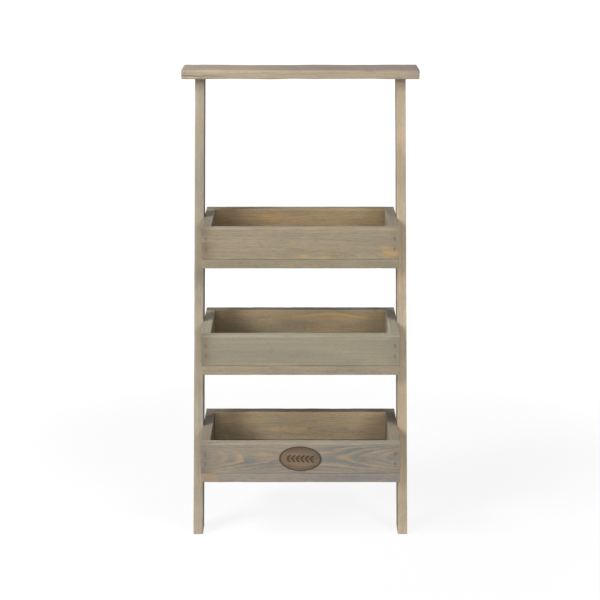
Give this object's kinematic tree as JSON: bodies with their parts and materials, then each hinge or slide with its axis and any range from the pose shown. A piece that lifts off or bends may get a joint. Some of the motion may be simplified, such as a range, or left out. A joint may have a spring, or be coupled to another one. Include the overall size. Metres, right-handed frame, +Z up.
{
  "type": "leaning plant stand",
  "caption": "Leaning wooden plant ladder: open trays fixed level between slanted uprights, under a flat top rail that rests against a wall",
  "frame": {"origin": "on the floor, below the middle of the stand's box", "axes": "+Z up, -Y the front that faces the user, +Y towards the wall, +X to the right as seen from the front"},
  "size_m": [0.555, 0.4512, 1.021],
  "materials": {
    "upright_pine": "grey-washed sawn pine",
    "rail_pine": "grey-washed sawn pine, worn edges",
    "panel_pine": "grey-washed sawn pine, darker",
    "slat_pine": "grey-washed sawn pine, darker",
    "nail_steel": "dulled steel",
    "screw_steel": "dulled zinc-plated steel"
  },
  "bodies": {
    "root": {"left_upright": "upright_pine", "right_upright": "upright_pine", "top_rail": "rail_pine", "rail_screws": "screw_steel", "lower_tray_front_panel": "panel_pine", "lower_tray_back_panel": "panel_pine", "lower_tray_left_end_panel": "panel_pine", "lower_tray_right_end_panel": "panel_pine", "lower_tray_front_slat": "slat_pine", "lower_tray_middle_slat": "slat_pine", "lower_tray_back_slat": "slat_pine", "lower_tray_front_nails": "nail_steel", "lower_tray_back_nails": "nail_steel", "lower_tray_base_nails": "nail_steel", "lower_tray_upright_screws": "screw_steel", "middle_tray_front_panel": "panel_pine", "middle_tray_back_panel": "panel_pine", "middle_tray_left_end_panel": "panel_pine", "middle_tray_right_end_panel": "panel_pine", "middle_tray_front_slat": "slat_pine", "middle_tray_middle_slat": "slat_pine", "middle_tray_back_slat": "slat_pine", "middle_tray_front_nails": "nail_steel", "middle_tray_back_nails": "nail_steel", "middle_tray_base_nails": "nail_steel", "middle_tray_upright_screws": "screw_steel", "upper_tray_front_panel": "panel_pine", "upper_tray_back_panel": "panel_pine", "upper_tray_left_end_panel": "panel_pine", "upper_tray_right_end_panel": "panel_pine", "upper_tray_front_slat": "slat_pine", "upper_tray_middle_slat": "slat_pine", "upper_tray_back_slat": "slat_pine", "upper_tray_front_nails": "nail_steel", "upper_tray_back_nails": "nail_steel", "upper_tray_base_nails": "nail_steel", "upper_tray_upright_screws": "screw_steel"}
  },
  "joints": []
}
